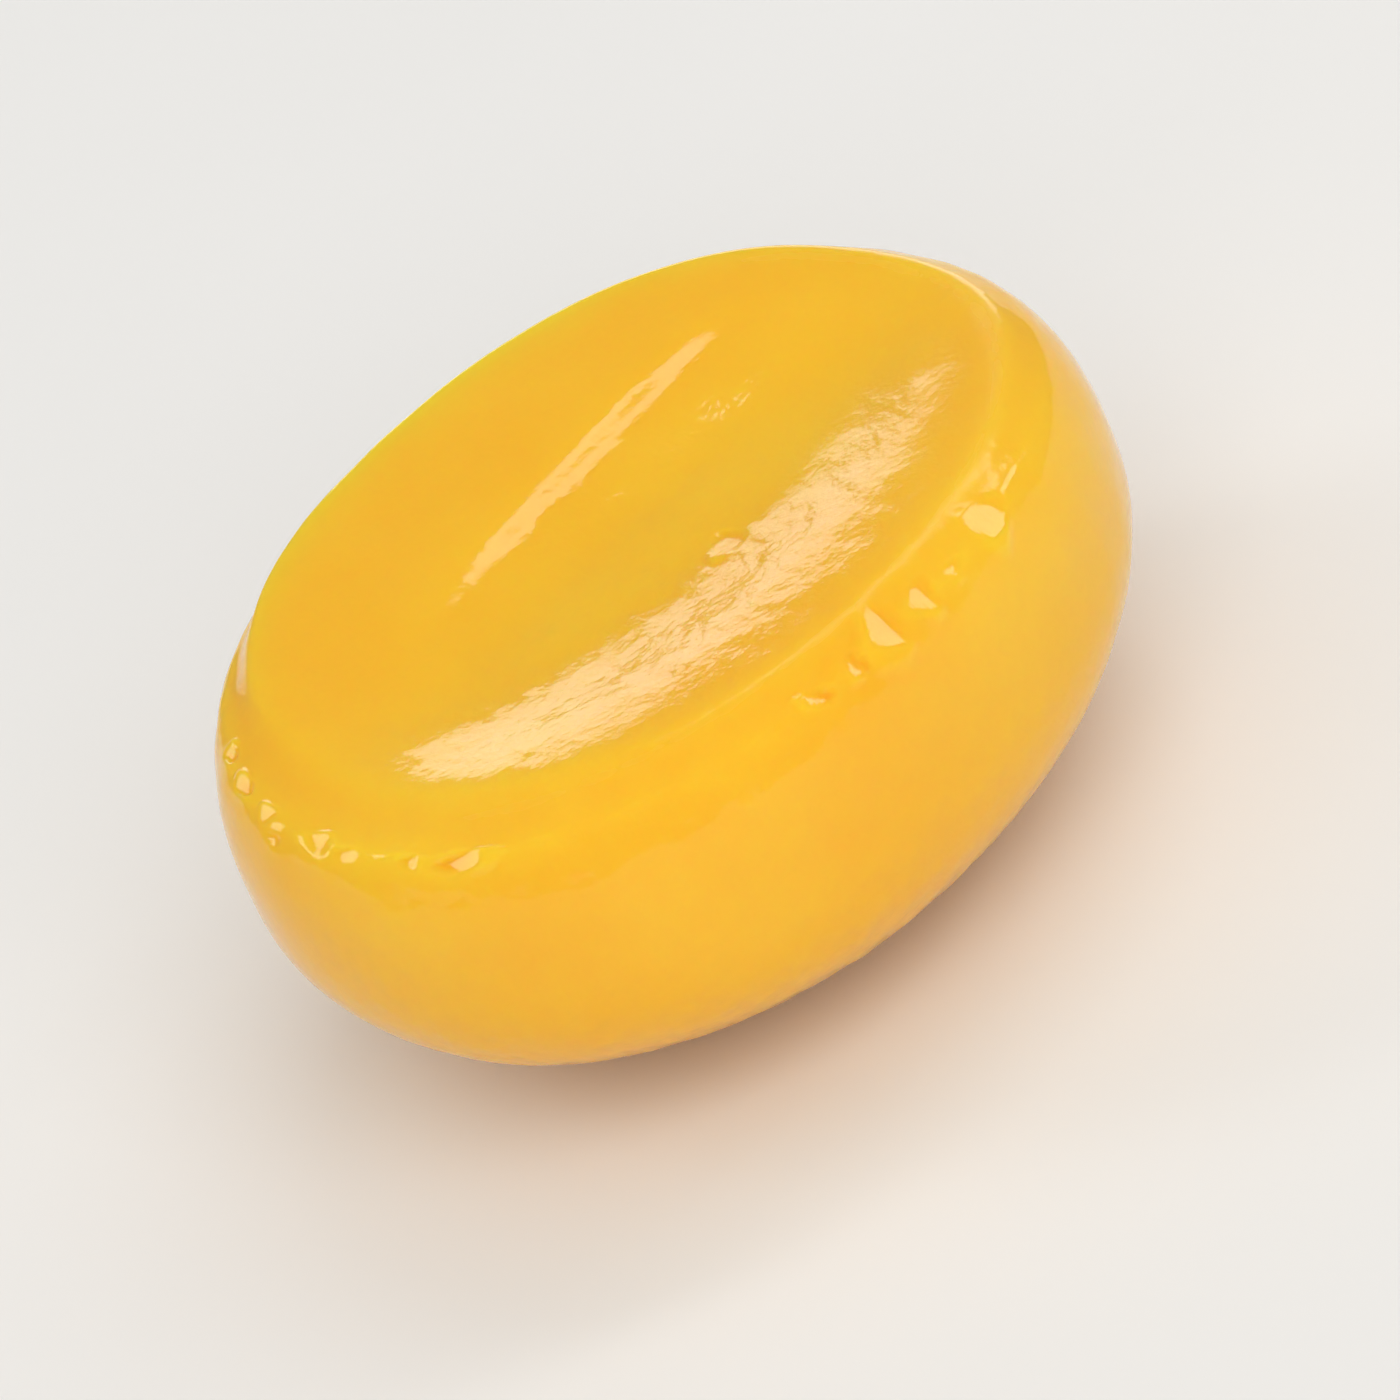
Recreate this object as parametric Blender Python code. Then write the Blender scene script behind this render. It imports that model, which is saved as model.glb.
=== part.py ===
"""Butterscotch boiled sweet: a deep oval drop with a raised, dimpled top face.

The sweet rests on a small flat spot, with its long axis along X, its short axis along Z
and its origin at the middle of the rest spot. Sizes are in metres.
"""

import math

import bmesh
import bpy
import numpy as np

# Plan of the widest section
LENGTH = 0.0255
WIDTH = 0.0204
PLAN_POWER = 2.15

# Heights above the surface that the sweet rests on
LOWER_DEPTH = 0.0070
EDGE_RISE = 0.0037
BOWL_POWER = 2.2
REST_SCALE = 0.20

# Mould line round the top face, as shares of the widest section's radius
EDGE_SCALE = 0.93
FLANK_POWER = 2.8
LEDGE = 0.010
LEDGE_RIGHT = 0.002
LEDGE_LEFT = 0.095
LEDGE_DIP = 0.00002
LEDGE_TURN = 0.12

# Raised top face: its height over the mould line, how much lower it lies on the near side,
# and how steeply and roundly it falls to the line at the right, far, left and near sides
FACE_RISE = 0.0010
FACE_TILT = 0.0003
TILT_REACH = 0.0060
FACE_SLOPES = (0.75, 3.0, 0.45, 0.75)
FACE_ROUNDS = (0.000083, 0.000070, 0.000083, 0.000083)

# Dimple in the top face
DIMPLE_DEPTH = 0.0013
DIMPLE_LENGTH_SHARE = 0.78
DIMPLE_NEAR_SHARE = 0.495
DIMPLE_FAR_SHARE = 0.44
DIMPLE_POWER = 2.1
DIMPLE_TURN = math.radians(-4)
DIMPLE_WALL = 0.0033
DIMPLE_WALL_LEAN = 0.35
DIMPLE_LEAN_REACH = 0.0030
NEVER_ZERO = 1e-6

# How far the mould line's corner is rounded, and how far from it, at the same four sides
EDGE_ROUNDS = (0.00030, 0.00016, 0.00045, 0.00024)
EDGE_ROUND_REACHES = (0.00060, 0.00035, 0.00240, 0.00060)

# Steps of the profile that is drawn first, and how finely it is sampled for the rounding
BOWL_STEPS = 120
FLANK_STEPS = 60
LEDGE_STEPS = 8
FACE_STEPS = 400
FACE_STEP_POWER = 1.5
SAMPLE = 0.00002
ROUNDING_SAMPLES = 120

# Divisions of the mesh, whose rings lie closest together at the mould line
SEGMENTS = 96
LOWER_RINGS = 20
UPPER_RINGS = 32
EDGE_STEP = 0.00012

# Colour and finish of boiled sugar
SUGAR_COLOUR = (0.87, 0.46, 0.035, 1.0)
SUGAR_ROUGHNESS = 0.16

HALF_LENGTH = LENGTH / 2
HALF_WIDTH = WIDTH / 2


def clear_scene():
    """Takes away whatever the open file holds."""
    for item in list(bpy.data.objects):
        bpy.data.objects.remove(item, do_unlink=True)


def signed_power(values, power):
    """Raises the size of each value to a power and keeps its sign."""
    return np.copysign(np.abs(values) ** power, values)


def by_side(values, x, y):
    """A value in each direction from the middle, from those at the right, far, left and near."""
    sides = np.maximum(0.0, np.array([x, y, -x, -y]) / np.hypot(x, y)) ** 2
    return sum(value * share for value, share in zip(values, sides))


def soft_lower(first, second, rounding):
    """The lower of two heights, with the corner between them rounded."""
    return -rounding * np.logaddexp(-first / rounding, -second / rounding)


def bowl_height(scale):
    """Height of the lower bowl where its plan has shrunk to a scale."""
    return LOWER_DEPTH * (1 - (1 - scale ** BOWL_POWER) ** (1 / BOWL_POWER))


def dimple(x, y):
    """Depth of the dimple, which sagged a little nearer to one side as the sweet cooled."""
    turned_x = x * math.cos(DIMPLE_TURN) + y * math.sin(DIMPLE_TURN)
    turned_y = y * math.cos(DIMPLE_TURN) - x * math.sin(DIMPLE_TURN)
    half_length = DIMPLE_LENGTH_SHARE * EDGE_SCALE * HALF_LENGTH
    side_share = np.where(turned_y < 0, DIMPLE_NEAR_SHARE, DIMPLE_FAR_SHARE)
    half_width = side_share * EDGE_SCALE * HALF_WIDTH
    along = np.abs(turned_x) / half_length + NEVER_ZERO
    across = np.abs(turned_y) / half_width + NEVER_ZERO
    reach = along ** DIMPLE_POWER + across ** DIMPLE_POWER
    slope_along = along ** (DIMPLE_POWER - 1) / half_length
    slope_across = across ** (DIMPLE_POWER - 1) / half_width
    outside = (reach - 1) / (DIMPLE_POWER * np.hypot(slope_along, slope_across))
    wall = DIMPLE_WALL * (1 + DIMPLE_WALL_LEAN * np.tanh(y / DIMPLE_LEAN_REACH))
    return DIMPLE_DEPTH * 0.5 * (1 - np.tanh(outside / wall))


def plain_rings():
    """Points of the sweet with a sharp mould line, ring by ring from rest spot to dimple."""
    angle = 2 * np.pi * np.arange(SEGMENTS) / SEGMENTS
    plan_x = HALF_LENGTH * signed_power(np.cos(angle), 2 / PLAN_POWER)
    plan_y = HALF_WIDTH * signed_power(np.sin(angle), 2 / PLAN_POWER)
    toward_left = np.maximum(0.0, -np.cos(angle + LEDGE_TURN)) ** 3
    toward_right = np.maximum(0.0, np.cos(angle))
    ledge = LEDGE + (LEDGE_LEFT - LEDGE) * toward_left + (LEDGE_RIGHT - LEDGE) * toward_right
    slope = by_side(FACE_SLOPES, np.cos(angle), np.sin(angle))
    rounding = by_side(FACE_ROUNDS, np.cos(angle), np.sin(angle))
    radius = np.hypot(plan_x, plan_y) * EDGE_SCALE * (1 - ledge)
    floor_height = bowl_height(REST_SCALE)
    widest = LOWER_DEPTH - floor_height
    edge = widest + EDGE_RISE
    level = np.ones(SEGMENTS)
    rings = []
    for turn in np.linspace(0, math.pi / 2, BOWL_STEPS + 1):
        scale = REST_SCALE + (1 - REST_SCALE) * math.sin(turn)
        rings.append((plan_x * scale, plan_y * scale, level * (bowl_height(scale) - floor_height)))
    for turn in np.linspace(0, math.pi / 2, FLANK_STEPS + 1)[1:]:
        share = math.sin(turn)
        scale = 1 - (1 - EDGE_SCALE) * share ** FLANK_POWER
        rings.append((plan_x * scale, plan_y * scale, level * (widest + EDGE_RISE * share)))
    edge_ring = len(rings) - 1
    for inward in np.linspace(0, 1, LEDGE_STEPS + 1)[1:-1]:
        scale = EDGE_SCALE * (1 - ledge * inward)
        rings.append((plan_x * scale, plan_y * scale, level * (edge - LEDGE_DIP * inward)))
    for share in 1 - np.linspace(0, 1, FACE_STEPS + 1) ** FACE_STEP_POWER:
        scale = EDGE_SCALE * (1 - ledge) * share
        x, y = plan_x * scale, plan_y * scale
        top = FACE_RISE - FACE_TILT * 0.5 * (1 - np.tanh(y / TILT_REACH)) - dimple(x, y)
        rise = soft_lower(top, slope * radius * (1 - share), rounding)
        rings.append((x, y, edge - LEDGE_DIP + rise))
    return np.array([np.stack(ring, axis=1) for ring in rings]), edge_ring


def rounded_column(column, edge_ring):
    """One profile of the sweet with its mould line rounded, at the heights of the mesh's rings."""
    length = np.concatenate([[0], np.cumsum(np.linalg.norm(np.diff(column, axis=0), axis=1))])
    along = np.arange(0, length[-1], SAMPLE)
    even = np.stack([np.interp(along, length, column[:, k]) for k in range(3)], axis=1)
    width, reach = (by_side(values, *column[0, :2]) for values in (EDGE_ROUNDS, EDGE_ROUND_REACHES))
    kernel = np.exp(-0.5 * (np.arange(-ROUNDING_SAMPLES, ROUNDING_SAMPLES + 1) * SAMPLE / width) ** 2)
    kernel /= kernel.sum()
    soft = np.stack([np.convolve(even[:, k], kernel, mode="same") for k in range(3)], axis=1)
    near_edge = np.exp(-((along - length[edge_ring]) / reach) ** 4)
    even += (soft - even) * near_edge[:, None]
    below, above = length[edge_ring], along[-1] - length[edge_ring]
    lower = np.linspace(1, 0, LOWER_RINGS + 1)
    upper = np.linspace(0, 1, UPPER_RINGS + 1)[1:]
    start_below = EDGE_STEP * LOWER_RINGS / below
    start_above = EDGE_STEP * UPPER_RINGS / above
    places = np.concatenate([
        below - below * (start_below * lower + (1 - start_below) * lower ** 2),
        below + above * (start_above * upper + (1 - start_above) * upper ** 2),
    ])
    return np.stack([np.interp(places, along, even[:, k]) for k in range(3)], axis=1)


def sweet_rings():
    """Rings of the finished shape, at exactly the stated length and width."""
    rough, edge_ring = plain_rings()
    rings = np.stack([rounded_column(column, edge_ring) for column in np.moveaxis(rough, 1, 0)], axis=1)
    rings[..., 0] *= HALF_LENGTH / np.abs(rings[..., 0]).max()
    rings[..., 1] *= HALF_WIDTH / np.abs(rings[..., 1]).max()
    rings[0, :, 2] = 0.0
    return rings


def join_rings(mesh, lower, upper):
    """Joins two rings with one band of faces."""
    for index in range(SEGMENTS):
        after = (index + 1) % SEGMENTS
        mesh.faces.new((lower[index], lower[after], upper[after], upper[index]))


def build_mesh():
    """The whole sweet as one closed surface, from the rest spot up to the dimple."""
    mesh = bmesh.new()
    points = sweet_rings()
    rings = [[mesh.verts.new(point) for point in ring] for ring in points[:-1].tolist()]
    for lower, upper in zip(rings, rings[1:]):
        join_rings(mesh, lower, upper)
    mesh.faces.new(list(reversed(rings[0])))
    middle = mesh.verts.new(points[-1].mean(axis=0).tolist())
    last = rings[-1]
    for index in range(SEGMENTS):
        mesh.faces.new((last[index], last[(index + 1) % SEGMENTS], middle))
    bmesh.ops.recalc_face_normals(mesh, faces=mesh.faces[:])
    return mesh


def sugar_material():
    """Glossy, golden boiled sugar."""
    material = bpy.data.materials.new("butterscotch_sugar")
    material.use_nodes = True
    shader = material.node_tree.nodes["Principled BSDF"]
    shader.inputs["Base Color"].default_value = SUGAR_COLOUR
    shader.inputs["Roughness"].default_value = SUGAR_ROUGHNESS
    shader.inputs["Metallic"].default_value = 0.0
    return material


def make_candy():
    """The one object of this model."""
    data = bpy.data.meshes.new("candy")
    mesh = build_mesh()
    mesh.to_mesh(data)
    mesh.free()
    data.shade_smooth()
    data.set_sharp_from_angle(angle=math.radians(50))
    data.materials.append(sugar_material())
    candy = bpy.data.objects.new("candy", data)
    bpy.context.scene.collection.objects.link(candy)
    return candy


clear_scene()
make_candy()
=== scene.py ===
"""Butterscotch boiled sweet on a pale floor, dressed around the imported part.

The sweet is one closed surface: rings from the flat rest spot, up the bowl and the flank,
over the mould line and its ledge, and across the dimpled top face. Sizes are in metres.
"""

import math

import bpy
import numpy as np
from mathutils import Matrix, Vector


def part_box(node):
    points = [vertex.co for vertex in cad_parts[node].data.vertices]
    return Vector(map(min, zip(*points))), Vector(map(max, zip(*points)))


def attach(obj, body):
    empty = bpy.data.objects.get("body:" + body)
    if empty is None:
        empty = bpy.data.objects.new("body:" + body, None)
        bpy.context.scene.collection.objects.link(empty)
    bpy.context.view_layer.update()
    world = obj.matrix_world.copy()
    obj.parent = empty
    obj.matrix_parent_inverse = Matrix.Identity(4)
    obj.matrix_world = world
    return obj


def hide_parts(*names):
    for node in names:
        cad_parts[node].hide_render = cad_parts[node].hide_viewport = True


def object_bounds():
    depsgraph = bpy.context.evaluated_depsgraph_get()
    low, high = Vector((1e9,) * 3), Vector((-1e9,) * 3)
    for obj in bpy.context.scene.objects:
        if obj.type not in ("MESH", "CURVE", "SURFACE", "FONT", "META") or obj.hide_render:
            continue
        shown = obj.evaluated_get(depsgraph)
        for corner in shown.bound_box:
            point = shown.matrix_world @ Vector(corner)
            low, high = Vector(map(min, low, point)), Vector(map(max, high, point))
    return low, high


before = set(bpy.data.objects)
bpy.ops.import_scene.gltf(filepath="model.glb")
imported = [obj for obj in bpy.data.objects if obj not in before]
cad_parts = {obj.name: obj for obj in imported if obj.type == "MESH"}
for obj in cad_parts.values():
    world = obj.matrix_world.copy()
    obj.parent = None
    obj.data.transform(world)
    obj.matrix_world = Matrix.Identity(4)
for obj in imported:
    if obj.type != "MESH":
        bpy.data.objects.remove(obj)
cad_low, cad_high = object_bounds()

MM = 0.001

# Plan of the widest section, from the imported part's own box
low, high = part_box("candy")
HALF_LENGTH = (high.x - low.x) / 2
HALF_WIDTH = (high.y - low.y) / 2
PLAN_POWER = 2.15

# Depth of the bowl, height of the flank over it, and the height where the top begins
LOWER_DEPTH = 7.0 * MM
EDGE_RISE = 3.7 * MM
BOWL_POWER = 2.2
REST_SCALE = 0.20
TOP_FROM = LOWER_DEPTH + EDGE_RISE * 0.5

# Mould line round the top face, as shares of the widest section's radius
EDGE_SCALE = 0.93
FLANK_POWER = 2.8
LEDGE = 0.010
LEDGE_RIGHT = 0.002
LEDGE_LEFT = 0.095
LEDGE_DIP = 0.02 * MM
LEDGE_TURN = 0.12

# Raised top face: its height over the mould line, and how much lower it lies on the near side
FACE_RISE = 1.0 * MM
FACE_TILT = 0.3 * MM
TILT_REACH = 6.0 * MM

# How steeply and roundly the face falls to the line at the right, far, left and near sides
FACE_SLOPES = (0.75, 3.0, 0.45, 0.75)
FACE_ROUNDS = (0.083 * MM, 0.07 * MM, 0.083 * MM, 0.083 * MM)

# Dimple in the top face
DIMPLE_DEPTH = 1.3 * MM
DIMPLE_LENGTH_SHARE = 0.78
DIMPLE_NEAR_SHARE = 0.495
DIMPLE_FAR_SHARE = 0.44
DIMPLE_POWER = 2.1
DIMPLE_TURN = math.radians(-4)
DIMPLE_WALL = 3.3 * MM
DIMPLE_WALL_LEAN = 0.35
DIMPLE_LEAN_REACH = 3.0 * MM
NEVER_ZERO = 1e-6

# How far the mould line's corner is rounded, and how far from it, at the same four sides
EDGE_ROUNDS = (0.30 * MM, 0.16 * MM, 0.45 * MM, 0.24 * MM)
EDGE_ROUND_REACHES = (0.6 * MM, 0.35 * MM, 2.4 * MM, 0.6 * MM)

# Steps of the profile that is drawn first, and how finely it is sampled for the rounding
BOWL_STEPS = 120
FLANK_STEPS = 60
LEDGE_STEPS = 8
FACE_STEPS = 400
FACE_STEP_POWER = 1.5
SAMPLE = 0.02 * MM
ROUNDING_SAMPLES = 120

# Divisions of the mesh, whose rings lie closest together at the mould line
SEGMENTS = 560
LOWER_RINGS = 66
UPPER_RINGS = 104
EDGE_STEP = 0.05 * MM

# Unevenness of the cooled surface: size of the waves, their height and how many there are
SEED = 7
SWELL = (9.0 * MM, 0.022 * MM, 24)
RIPPLE = (2.0 * MM, 0.0050 * MM, 40)
GRAINS = ((0.90 * MM, 0.0065 * MM, 60), (0.50 * MM, 0.0048 * MM, 60))
WAVE_SIZES = (0.7, 1.5)
GRAIN_STRETCH = 2.2
REST_FADE = 1.0 * MM

# Share of the grain on the far side and at the right end, and where it changes over
GRAIN_FAR = 0.25
GRAIN_FAR_PLACE = (1.0 * MM, 1.0 * MM)
GRAIN_RIGHT = 0.28
GRAIN_RIGHT_PLACE = (2.5 * MM, 2.0 * MM)

# Lumps along the mould line, and their share at the right end
EDGE_LUMPS = (1.3 * MM, 0.016 * MM, 40)
EDGE_LUMPS_REACH = 0.9 * MM
EDGE_LUMPS_RIGHT = 0.3

# Rubbed rim and dull wall of the near side, as shares of the mould line's radius
RUBBED_SHARE = 0.905
RUBBED_WIDTH = 0.030
DULL_SHARE = 0.88
DULL_FADE = 0.1

# Where the near side's finish ends, which on the rim is further back past this far right
NEAR_PLACE = (-1.0 * MM, 1.5 * MM)
RUBBED_RIGHT = 2.0 * MM

# Raised thread of sugar along the mould line, and its share at the right end
THREAD_HEIGHT = 0.045 * MM
THREAD_WIDTH = 0.20 * MM
THREAD_RIGHT = 0.1

# How the thread varies along the line, as shares of its height
THREAD_WAVES = (1.3 * MM, 0.5, 20)
THREAD_MIDDLE = 0.4
THREAD_MOST = 1.5

# Fold on the dimple's far wall: where it runs, half its length, its height and half width
FOLD_MIDDLE = (1.7 * MM, 3.56 * MM)
FOLD_BEND = 12.0
FOLD_REACH = 7.0 * MM
FOLD_HEIGHT = 0.086 * MM
FOLD_WIDTH = 0.40 * MM
FOLD_FADE = 6 * FOLD_WIDTH

# Chips: plan place and half sizes round and across in mm, lean to the camera and to its right
CHIPS = (
    (3.3, -9.20, 0.66, 0.74, 30, 32),
    (1.6, -9.45, 0.32, 0.26, 30, 32),
    (0.35, -9.48, 0.50, 0.50, 30, 32),
    (-1.1, -9.45, 0.66, 0.90, 30, 33),
    (-2.3, -9.38, 0.30, 0.34, 30, 33),
    (-3.65, -9.15, 0.50, 0.24, 30, 33),
    (-11.0, -4.05, 0.90, 0.28, 23, -32),
    (-11.6, -2.60, 0.32, 0.24, 23, -32),
    (-11.9, -0.70, 0.44, 0.20, 23, -32),
    (-11.8, 0.35, 0.34, 0.30, 23, -32),
    (-11.85, 2.20, 0.26, 0.18, 24, -32),
    (-11.4, 2.60, 0.34, 0.26, 24, -32),
    (-10.7, 4.10, 0.46, 0.24, 24, -32),
    (-9.8, 5.35, 0.30, 0.24, 24, -32),
    (1.0, -2.15, 0.62, 0.42, -9, 5),
)

# Outline of a chip: how soft, how uneven and with how many corners, and its limit in half sizes
CHIP_EDGE = 0.13
CHIP_WOBBLE = 0.18
CHIP_CORNERS = 3
CHIP_LIMIT = 4

# How deep a chip is cut at its middle, how far it may stand up, and its least lean outwards
CHIP_DEPTH = 0.03 * MM
CHIP_RAISE = 0.09 * MM
CHIP_LEAST_LEAN = 0.3

# Camera, set from the way the sweet lies in the photograph
CAMERA_AZIMUTH = math.radians(-36)
CAMERA_ELEVATION = math.radians(34)
CAMERA_ROLL = math.radians(23.5)
CAMERA_DISTANCE = 0.233
CAMERA_LENS = 240.0
CAMERA_SENSOR = 36
CAMERA_CLIP = 0.01
CAMERA_AIM = Vector((0.0, 0.0, 5.4 * MM))

# Boiled sugar: golds of its clouds, a deeper gold that paints shade low down, and the heights where
# one gives way to it
SUGAR_PALE = ((0.92, 0.505, 0.025, 1), (0.94, 0.565, 0.031, 1))
SUGAR_SHADED_LOW = (0.94, 0.45, 0.014, 1)
CLOUD_SIZE = 9 * MM
SHADE_HEIGHTS = (9 * MM, 1 * MM)
NOISE_RANGE = (0.35, 0.65)

# Skin of the sugar: its roughness, and what rubbing and dulling add to it
ROUGHNESS = (0.05, 0.09)
ROUGHNESS_SIZE = 0.9 * MM
ROUGHNESS_DETAIL = 3.0
RUBBED_ROUGHNESS = 0.22
DULL_ROUGHNESS = 0.06
SUGAR_SPECULAR = 0.32
SUGAR_IOR = 1.5

# How far red, green and blue light wander inside the sugar
SCATTER_RADIUS = (1.0, 0.6, 0.15)
SCATTER_SCALE = 4.0 * MM

# Finest grain of the skin, and its strength elsewhere and on the dimple's near wall
BUMP_SIZE = 0.25 * MM
BUMP_HEIGHT = 0.036 * MM
BUMP_STRENGTHS = (0.2, 0.6)

# Pale board that the sweet rests on
BOARD_COLOURS = ((0.86, 0.855, 0.84, 1), (0.88, 0.875, 0.862, 1))
BOARD_TONE_SIZE = 30 * MM
BOARD_TONE_RANGE = (0.3, 0.7)
BOARD_ROUGHNESS = 0.75
BOARD_SPECULAR = 0.2
BOARD_HALF_SIDE = 1.5

# Lamps: name, lean of what mirrors them to the camera and its right, half angles, radiance
LAMPS = (
    ("window", -12.1, 11, 16, 12.4, 1.88),
    ("strip", 18.4, 16.5, 21, 4.0, 4.0),
    ("right", 30, 33, 4, 4, 4.4),
    ("left", 24, -33, 12, 6, 3.6),
)
LAMP_DISTANCE = 0.6

# Soft lamps that aren't mirrored, and the studio round them: distance, side and radiance
FILL = (0.8, 0.9, 1.74)
FILL_HIGHER = 0.08
FILL_ASIDE = 0.12
SKY = (0.9, 1.6, 0.41)
STUDIO_COLOUR = (1.0, 0.97, 0.92, 1)
STUDIO_STRENGTH = 0.28

rng = np.random.default_rng(SEED)


def signed_power(values, power):
    """Raises the size of each value to a power and keeps its sign."""
    return np.copysign(np.abs(values) ** power, values)


def fading(values, place):
    """Share that falls from 1 to 0 as the values pass a middle, over a reach to each side."""
    middle, reach = place
    return 0.5 - 0.5 * np.tanh((values - middle) / reach)


def camera_axes():
    """Directions to the camera's right, to its top and back towards it."""
    a, e, r = CAMERA_AZIMUTH, CAMERA_ELEVATION, CAMERA_ROLL
    back = Vector((math.sin(a) * math.cos(e), -math.cos(a) * math.cos(e), math.sin(e)))
    right = Vector((math.cos(a), math.sin(a), 0))
    top = back.cross(right)
    return (right * math.cos(r) - top * math.sin(r), right * math.sin(r) + top * math.cos(r), back)


def leaning_normal(towards, aside):
    """Direction that leans from straight up towards the camera and aside to its right."""
    _, _, back = camera_axes()
    level = Vector((0, 0, 1))
    near = (back - level * back.dot(level)).normalized()
    side = level.cross(near)
    t, s = math.radians(towards), math.radians(aside)
    return (level * math.cos(t) + near * math.sin(t)) * math.cos(s) + side * math.sin(s)


def bowl_height(scale):
    """Height of the lower bowl where its plan has shrunk to a scale."""
    return LOWER_DEPTH * (1 - (1 - scale ** BOWL_POWER) ** (1 / BOWL_POWER))


def dimple(x, y):
    """Depth of the dimple at points of the plan."""
    half_length = DIMPLE_LENGTH_SHARE * EDGE_SCALE * HALF_LENGTH
    turned_x = x * math.cos(DIMPLE_TURN) + y * math.sin(DIMPLE_TURN)
    turned_y = y * math.cos(DIMPLE_TURN) - x * math.sin(DIMPLE_TURN)
    side_share = np.where(turned_y < 0, DIMPLE_NEAR_SHARE, DIMPLE_FAR_SHARE)
    half_width = side_share * EDGE_SCALE * HALF_WIDTH
    along = np.abs(turned_x) / half_length + NEVER_ZERO
    across = np.abs(turned_y) / half_width + NEVER_ZERO
    reach = along ** DIMPLE_POWER + across ** DIMPLE_POWER
    slope_along = along ** (DIMPLE_POWER - 1) / half_length
    slope_across = across ** (DIMPLE_POWER - 1) / half_width
    outside = (reach - 1) / (DIMPLE_POWER * np.hypot(slope_along, slope_across))
    wall = DIMPLE_WALL * (1 + DIMPLE_WALL_LEAN * np.tanh(y / DIMPLE_LEAN_REACH))
    return DIMPLE_DEPTH * fading(outside, (0, wall))


def by_side(values, x, y):
    """A value in each direction from the middle, from those at the right, far, left and near."""
    sides = np.maximum(0.0, np.array([x, y, -x, -y]) / np.hypot(x, y)) ** 2
    return sum(value * share for value, share in zip(values, sides))


def soft_lower(first, second, rounding):
    """The lower of two heights, with the corner between them rounded."""
    return -rounding * np.logaddexp(-first / rounding, -second / rounding)


def plain_rings():
    """Points of the plain sweet, ring by ring from the rest spot to the dimple's middle."""
    angle = 2 * np.pi * np.arange(SEGMENTS) / SEGMENTS
    plan_x = HALF_LENGTH * signed_power(np.cos(angle), 2 / PLAN_POWER)
    plan_y = HALF_WIDTH * signed_power(np.sin(angle), 2 / PLAN_POWER)
    toward_left = np.maximum(0.0, -np.cos(angle + LEDGE_TURN)) ** 3
    toward_right = np.maximum(0.0, np.cos(angle))
    ledge = LEDGE + (LEDGE_LEFT - LEDGE) * toward_left + (LEDGE_RIGHT - LEDGE) * toward_right
    floor_height = bowl_height(REST_SCALE)
    widest = LOWER_DEPTH - floor_height
    edge = widest + EDGE_RISE
    level = np.ones(SEGMENTS)
    slope = by_side(FACE_SLOPES, np.cos(angle), np.sin(angle))
    rounding = by_side(FACE_ROUNDS, np.cos(angle), np.sin(angle))
    radius = np.hypot(plan_x, plan_y) * EDGE_SCALE * (1 - ledge)
    rings = []
    for turn in np.linspace(0, math.pi / 2, BOWL_STEPS + 1):
        scale = REST_SCALE + (1 - REST_SCALE) * math.sin(turn)
        rings.append((plan_x * scale, plan_y * scale, level * (bowl_height(scale) - floor_height)))
    for turn in np.linspace(0, math.pi / 2, FLANK_STEPS + 1)[1:]:
        share = math.sin(turn)
        scale = 1 - (1 - EDGE_SCALE) * share ** FLANK_POWER
        rings.append((plan_x * scale, plan_y * scale, level * (widest + EDGE_RISE * share)))
    edge_ring = len(rings) - 1
    for inward in np.linspace(0, 1, LEDGE_STEPS + 1)[1:-1]:
        scale = EDGE_SCALE * (1 - ledge * inward)
        rings.append((plan_x * scale, plan_y * scale, level * (edge - LEDGE_DIP * inward)))
    for share in 1 - np.linspace(0, 1, FACE_STEPS + 1) ** FACE_STEP_POWER:
        scale = EDGE_SCALE * (1 - ledge) * share
        x, y = plan_x * scale, plan_y * scale
        top = FACE_RISE - FACE_TILT * fading(y, (0, TILT_REACH)) - dimple(x, y)
        rise = soft_lower(top, slope * radius * (1 - share), rounding)
        rings.append((x, y, edge - LEDGE_DIP + rise))
    return np.array([np.stack(ring, axis=1) for ring in rings]), edge_ring


def rounded_column(column, edge_ring):
    """One profile of the sweet with its mould line rounded, at the heights of the mesh's rings."""
    length = np.concatenate([[0], np.cumsum(np.linalg.norm(np.diff(column, axis=0), axis=1))])
    along = np.arange(0, length[-1], SAMPLE)
    even = np.stack([np.interp(along, length, column[:, k]) for k in range(3)], axis=1)
    width, reach = (by_side(values, *column[0, :2]) for values in (EDGE_ROUNDS, EDGE_ROUND_REACHES))
    offsets = np.arange(-ROUNDING_SAMPLES, ROUNDING_SAMPLES + 1) * SAMPLE
    kernel = np.exp(-0.5 * (offsets / width) ** 2)
    kernel /= kernel.sum()
    soft = np.stack([np.convolve(even[:, k], kernel, mode="same") for k in range(3)], axis=1)
    near_edge = np.exp(-((along - length[edge_ring]) / reach) ** 4)
    even += (soft - even) * near_edge[:, None]
    below, above = length[edge_ring], along[-1] - length[edge_ring]
    lower = np.linspace(1, 0, LOWER_RINGS + 1)
    upper = np.linspace(0, 1, UPPER_RINGS + 1)[1:]
    start_below = EDGE_STEP * LOWER_RINGS / below
    start_above = EDGE_STEP * UPPER_RINGS / above
    places = np.concatenate([
        below - below * (start_below * lower + (1 - start_below) * lower ** 2),
        below + above * (start_above * upper + (1 - start_above) * upper ** 2),
    ])
    return np.stack([np.interp(places, along, even[:, k]) for k in range(3)], axis=1)


def even_rings(rough, edge_ring):
    """Rings that are close together near the rounded mould line, and the dimple's middle."""
    columns = [rounded_column(column, edge_ring) for column in np.moveaxis(rough, 1, 0)]
    points = np.stack(columns, axis=1)
    return points[:-1], points[-1].mean(axis=0)


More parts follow.
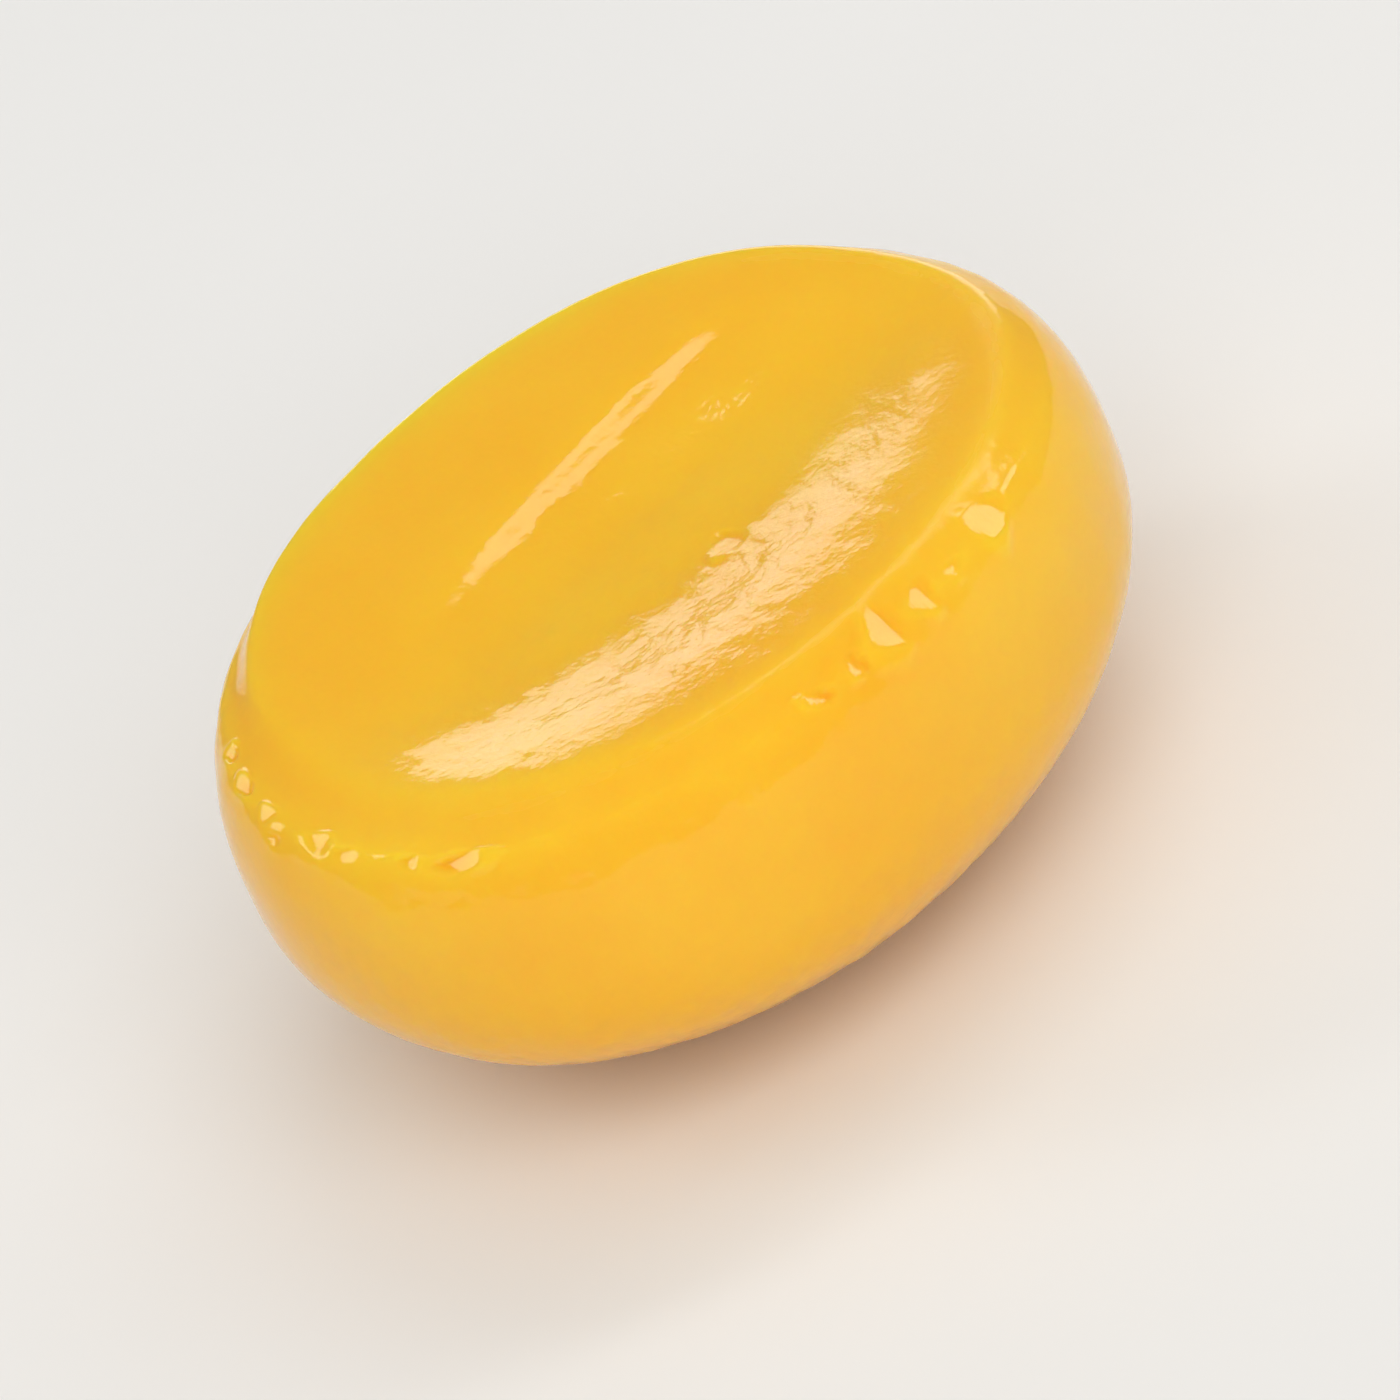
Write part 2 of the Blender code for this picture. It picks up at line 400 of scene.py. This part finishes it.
def ring_normals(points):
    """Outward directions at the points of the rings."""
    round_way = np.roll(points, -1, axis=1) - np.roll(points, 1, axis=1)
    up_way = np.gradient(points, axis=0)
    normals = np.cross(round_way, up_way)
    return normals / np.linalg.norm(normals, axis=2, keepdims=True)


def waves(points, band, stretch=1.0):
    """Seeded, smooth unevenness over the points, longer by a stretch along the view."""
    size, height, count = band
    to_camera = np.array([math.sin(CAMERA_AZIMUTH), -math.cos(CAMERA_AZIMUTH), 0])
    total = np.zeros(points.shape[:-1])
    for _ in range(count):
        direction = rng.normal(size=3)
        direction *= 2 * np.pi / (size * rng.uniform(*WAVE_SIZES) * np.linalg.norm(direction))
        direction -= to_camera * (direction @ to_camera) * (1 - 1 / stretch)
        total += np.cos(points @ direction + rng.uniform(0, 2 * np.pi))
    return height * total / math.sqrt(count / 2)


def cut_chip(points, normals, chip):
    """Levels a small patch with uneven corners, so that it faces one way."""
    x, y, half_round, half_across, towards, aside = chip
    facing = np.array(leaning_normal(towards, aside))
    place = np.array([x, y, 0]) * MM
    away = np.hypot(points[..., 0] - place[0], points[..., 1] - place[1])
    away[points[..., 2] < TOP_FROM] = np.inf
    offset = points - points[np.unravel_index(np.argmin(away), away.shape)]
    tangent = np.cross(facing, place)
    tangent /= np.linalg.norm(tangent)
    along = offset @ tangent / (half_round * MM)
    beside = offset @ np.cross(facing, tangent) / (half_across * MM)
    wobble = CHIP_WOBBLE * min(half_round, half_across) / max(half_round, half_across)
    corners = np.cos(CHIP_CORNERS * np.arctan2(beside, along) + x)
    reach = np.hypot(along, beside) * (1 + wobble * corners)
    near = np.linalg.norm(offset, axis=2) < CHIP_LIMIT * max(half_round, half_across) * MM
    mask = fading(reach, (1, CHIP_EDGE)) * near
    cut = np.maximum(offset @ facing + CHIP_DEPTH, -CHIP_RAISE)
    leaning = np.maximum(normals @ facing, CHIP_LEAST_LEAN)
    return points - normals * (mask * cut / leaning)[..., None]


def smoother_right(points):
    """Share of the grain that is left towards the right end, which cooled smoother."""
    return GRAIN_RIGHT + (1 - GRAIN_RIGHT) * fading(points[..., 0], GRAIN_RIGHT_PLACE)


def fold(points):
    """Height of the narrow fold that crosses the dimple's far wall."""
    along = points[..., 0] - FOLD_MIDDLE[0]
    beside = points[..., 1] - FOLD_MIDDLE[1] + FOLD_BEND * along ** 2
    taper = np.clip(1 - (along / FOLD_REACH) ** 4, 0, 1)
    on_top = points[..., 2] > TOP_FROM
    local = np.exp(-(beside / FOLD_FADE) ** 2)
    return FOLD_HEIGHT * taper * local * np.tanh(beside / FOLD_WIDTH) * on_top


def cooled_relief(points):
    """How far cooling raised or sank the surface, which is not at all at the rest spot."""
    away = np.linalg.norm(points - points[LOWER_RINGS][None], axis=2)
    toward_left = np.clip(-points[..., 0] / HALF_LENGTH, 0, 1)
    thread = np.clip(THREAD_MIDDLE + waves(points, THREAD_WAVES), 0, THREAD_MOST)
    thread *= THREAD_RIGHT + (1 - THREAD_RIGHT) * toward_left
    swell = sum(waves(points, band) for band in (SWELL, RIPPLE))
    grain = sum(waves(points, band, GRAIN_STRETCH) for band in GRAINS)
    grain *= GRAIN_FAR + (1 - GRAIN_FAR) * fading(points[..., 1], GRAIN_FAR_PLACE)
    lumps = waves(points, EDGE_LUMPS) * np.exp(-(away / EDGE_LUMPS_REACH) ** 2)
    lumps *= EDGE_LUMPS_RIGHT + (1 - EDGE_LUMPS_RIGHT) * toward_left
    relief = swell + grain * smoother_right(points) + lumps + fold(points)
    relief += THREAD_HEIGHT * thread * np.exp(-(away / THREAD_WIDTH) ** 2)
    rest = np.clip(points[..., 2] / REST_FADE, 0, 1)
    return relief * rest * rest * (3 - 2 * rest)


def candy_points():
    """The sweet's points, with what cooling and handling left on the plain shape."""
    points, middle = even_rings(*plain_rings())
    relief = cooled_relief(points)
    points = points + ring_normals(points) * relief[..., None]
    normals = ring_normals(points)
    for chip in CHIPS:
        points = cut_chip(points, normals, chip)
    return points, middle + np.array([0, 0, relief[-1].mean()])


def finish_shares(points):
    """How rubbed the near rim is, and how dull and grainy the dimple's near wall, from 0 to 1."""
    x, y, z = np.moveaxis(points, -1, 0)
    plan_share = np.abs(x / HALF_LENGTH) ** PLAN_POWER + np.abs(y / HALF_WIDTH) ** PLAN_POWER
    edge_share = plan_share ** (1 / PLAN_POWER) / EDGE_SCALE
    on_top = z > TOP_FROM
    right_too = fading(y - np.maximum(0.0, x - RUBBED_RIGHT), NEAR_PLACE)
    rubbed = right_too * on_top * np.exp(-((edge_share - RUBBED_SHARE) / RUBBED_WIDTH) ** 2)
    inside = np.clip((DULL_SHARE - edge_share) / DULL_FADE, 0, 1)
    dull = fading(y, NEAR_PLACE) * on_top * inside
    return rubbed, dull, dull * smoother_right(points)


def fit_inside(points, middle):
    """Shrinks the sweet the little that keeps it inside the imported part's box."""
    everything = np.vstack([points.reshape(-1, 3), middle])
    room = np.array([cad_high.x, cad_high.y, cad_high.z])
    share = np.minimum(1.0, room / np.abs(everything).max(axis=0))
    return points * share, middle * share


def candy_faces(ring_count):
    """Bands of faces between the rings, the fan round the dimple's middle and the rest spot."""
    here = np.arange(SEGMENTS)
    after = (here + 1) % SEGMENTS
    last = (ring_count - 1) * SEGMENTS
    faces = []
    for start in range(0, last, SEGMENTS):
        above = start + SEGMENTS
        corners = (start + here, start + after, above + after, above + here)
        faces += np.stack(corners, axis=1).tolist()
    middle = np.full(SEGMENTS, last + SEGMENTS)
    faces += np.stack((last + here, last + after, middle), axis=1).tolist()
    faces.append(here[::-1].tolist())
    return faces


def make_candy():
    """The sweet as one closed mesh, with its finish kept at its points."""
    points, middle = fit_inside(*candy_points())
    points[..., 2] = np.maximum(points[..., 2], 0.0)
    verts = np.vstack([points.reshape(-1, 3), middle])
    data = bpy.data.meshes.new("candy_sugar")
    data.from_pydata(verts.tolist(), [], candy_faces(len(points)))
    for name, values in zip(("rubbed", "dull", "grainy"), finish_shares(points)):
        layer = data.attributes.new(name, "FLOAT", "POINT")
        layer.data.foreach_set("value", np.append(values.ravel(), 0.0).astype(np.float32))
    data.validate()
    data.shade_smooth()
    candy = bpy.data.objects.new("candy_sugar", data)
    bpy.context.scene.collection.objects.link(candy)
    return candy


def add_node(tree, kind, **inputs):
    """A new node of a tree with some of its inputs set."""
    node = tree.nodes.new(kind)
    for name, value in inputs.items():
        node.inputs[name.replace("_", " ")].default_value = value
    return node


def layer_value(tree, name):
    """A value kept with the mesh's points."""
    node = tree.nodes.new("ShaderNodeAttribute")
    node.attribute_name = name
    return node.outputs["Fac"]


def math_node(tree, operation, first, second):
    """One sum or product of two values, each a socket or a number."""
    node = tree.nodes.new("ShaderNodeMath")
    node.operation = operation
    for socket, value in zip(node.inputs, (first, second)):
        if isinstance(value, float):
            socket.default_value = value
        else:
            tree.links.new(value, socket)
    return node.outputs["Value"]


def noise(tree, coordinates, size, detail=2.0):
    """Noise whose features are about one size across."""
    node = add_node(tree, "ShaderNodeTexNoise", Scale=1 / size, Detail=detail)
    tree.links.new(coordinates, node.inputs["Vector"])
    return node.outputs["Fac"]


def spread(tree, value, from_low, from_high, to_low, to_high):
    """Maps a range of a value onto another range."""
    node = tree.nodes.new("ShaderNodeMapRange")
    tree.links.new(value, node.inputs["Value"])
    node.inputs["From Min"].default_value = from_low
    node.inputs["From Max"].default_value = from_high
    node.inputs["To Min"].default_value = to_low
    node.inputs["To Max"].default_value = to_high
    return node.outputs["Result"]


def blend_colours(tree, factor, first, second):
    """Mixes two colours, each a socket or four numbers, by a factor."""
    node = tree.nodes.new("ShaderNodeMix")
    node.data_type = "RGBA"
    tree.links.new(factor, node.inputs["Factor"])
    for name, colour in (("A", first), ("B", second)):
        socket = [s for s in node.inputs if s.name == name and s.type == "RGBA"][0]
        if isinstance(colour, tuple):
            socket.default_value = colour
        else:
            tree.links.new(colour, socket)
    return [s for s in node.outputs if s.type == "RGBA"][0]


def sugar_material():
    """Cloudy golden boiled sugar with painted shade of deeper gold low down, and a glossy, slightly
    uneven skin.
    """
    material = bpy.data.materials.new("boiled_sugar")
    material.use_nodes = True
    tree = material.node_tree
    shader = tree.nodes["Principled BSDF"]
    place = tree.nodes.new("ShaderNodeTexCoord").outputs["Object"]
    cloud = spread(tree, noise(tree, place, CLOUD_SIZE), *NOISE_RANGE, 0, 1)
    pale = blend_colours(tree, cloud, *SUGAR_PALE)
    axes = tree.nodes.new("ShaderNodeSeparateXYZ")
    tree.links.new(place, axes.inputs["Vector"])
    # Painted shade: the gold deepens and turns more orange towards the bottom, between these
    # heights
    painted_shade = spread(tree, axes.outputs["Z"], *SHADE_HEIGHTS, 0, 1)
    base = blend_colours(tree, painted_shade, pale, SUGAR_SHADED_LOW)
    tree.links.new(base, shader.inputs["Base Color"])
    skin = noise(tree, place, ROUGHNESS_SIZE, ROUGHNESS_DETAIL)
    rough = spread(tree, skin, *NOISE_RANGE, *ROUGHNESS)
    rubbed = math_node(tree, "MULTIPLY", layer_value(tree, "rubbed"), RUBBED_ROUGHNESS)
    dull = math_node(tree, "MULTIPLY", layer_value(tree, "dull"), DULL_ROUGHNESS)
    dulled = math_node(tree, "ADD", rubbed, dull)
    tree.links.new(math_node(tree, "ADD", rough, dulled), shader.inputs["Roughness"])
    shader.inputs["Specular IOR Level"].default_value = SUGAR_SPECULAR
    shader.inputs["IOR"].default_value = SUGAR_IOR
    shader.inputs["Subsurface Weight"].default_value = 1.0
    shader.inputs["Subsurface Radius"].default_value = SCATTER_RADIUS
    shader.inputs["Subsurface Scale"].default_value = SCATTER_SCALE
    bump = add_node(tree, "ShaderNodeBump", Distance=BUMP_HEIGHT)
    strength = spread(tree, layer_value(tree, "grainy"), 0, 1, *BUMP_STRENGTHS)
    tree.links.new(strength, bump.inputs["Strength"])
    tree.links.new(noise(tree, place, BUMP_SIZE), bump.inputs["Height"])
    tree.links.new(bump.outputs["Normal"], shader.inputs["Normal"])
    return material


def floor_material():
    """Plain pale matt board."""
    material = bpy.data.materials.new("pale_board")
    material.use_nodes = True
    tree = material.node_tree
    shader = tree.nodes["Principled BSDF"]
    place = tree.nodes.new("ShaderNodeTexCoord").outputs["Object"]
    tone = spread(tree, noise(tree, place, BOARD_TONE_SIZE), *BOARD_TONE_RANGE, 0, 1)
    base = blend_colours(tree, tone, *BOARD_COLOURS)
    tree.links.new(base, shader.inputs["Base Color"])
    shader.inputs["Roughness"].default_value = BOARD_ROUGHNESS
    shader.inputs["Specular IOR Level"].default_value = BOARD_SPECULAR
    return material


def make_floor():
    """The floor that the sweet rests on."""
    side = BOARD_HALF_SIDE
    data = bpy.data.meshes.new("floor")
    corners = [(-side, -side, 0), (side, -side, 0), (side, side, 0), (-side, side, 0)]
    data.from_pydata(corners, [], [(0, 1, 2, 3)])
    data.materials.append(floor_material())
    floor = bpy.data.objects.new("floor", data)
    bpy.context.scene.collection.objects.link(floor)


def make_camera():
    """The camera at the photograph's angle."""
    right, top, back = camera_axes()
    data = bpy.data.cameras.new("camera")
    data.lens = CAMERA_LENS
    data.sensor_width = CAMERA_SENSOR
    data.clip_start = CAMERA_CLIP
    camera = bpy.data.objects.new("camera", data)
    place = CAMERA_AIM + back * CAMERA_DISTANCE
    axes = Matrix((right, top, back)).transposed().to_4x4()
    camera.matrix_world = Matrix.Translation(place) @ axes
    bpy.context.scene.collection.objects.link(camera)
    bpy.context.scene.camera = camera


def mirrored_light(towards, aside):
    """Where light comes from for a surface that leans this way to mirror it into the camera."""
    _, _, back = camera_axes()
    normal = leaning_normal(towards, aside)
    return (normal * (2 * normal.dot(back)) - back).normalized()


def make_light(name, direction, distance, width, height, radiance, level_side, seen=True):
    """A soft rectangular lamp that faces the sweet, with one edge along a given direction."""
    data = bpy.data.lights.new(name, "AREA")
    data.shape = "RECTANGLE"
    data.size = width
    data.size_y = height
    data.energy = radiance * math.pi * width * height
    lamp = bpy.data.objects.new(name, data)
    z = direction.normalized()
    x = (level_side - z * level_side.dot(z)).normalized()
    y = z.cross(x)
    lamp.matrix_world = Matrix.Translation(z * distance) @ Matrix((x, y, z)).transposed().to_4x4()
    lamp.visible_camera = False
    lamp.visible_glossy = seen
    bpy.context.scene.collection.objects.link(lamp)


def lamp_size(distance, half_angle):
    """Width of a lamp that spans this many degrees to each side, seen from the sweet."""
    return 2 * distance * math.tan(math.radians(half_angle))


def light_scene():
    """A window-like lamp behind, a narrow strip, two lamps for the chips, and soft fill."""
    _, _, back = camera_axes()
    side = Vector((0, 0, 1)).cross(Vector((back.x, back.y, 0)).normalized())
    for name, towards, aside, half_width, half_height, radiance in LAMPS:
        width, height = lamp_size(LAMP_DISTANCE, half_width), lamp_size(LAMP_DISTANCE, half_height)
        way = mirrored_light(towards, aside)
        make_light(name, way, LAMP_DISTANCE, width, height, radiance, side)
    soft_lamps = (
        ("fill", back + Vector((0, 0, FILL_HIGHER)) + side * FILL_ASIDE, FILL),
        ("sky", Vector((0, 0, 1)), SKY),
    )
    for name, way, (distance, width, radiance) in soft_lamps:
        make_light(name, way, distance, width, width, radiance, side, seen=False)
    world = bpy.data.worlds.new("studio")
    world.use_nodes = True
    background = world.node_tree.nodes["Background"]
    background.inputs["Color"].default_value = STUDIO_COLOUR
    background.inputs["Strength"].default_value = STUDIO_STRENGTH
    bpy.context.scene.world = world


bpy.context.scene.view_settings.view_transform = "Standard"
bpy.context.scene.view_settings.look = "None"

make_camera()
light_scene()
make_floor()
candy = make_candy()
candy.data.materials.append(sugar_material())
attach(candy, "root")
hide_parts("candy")
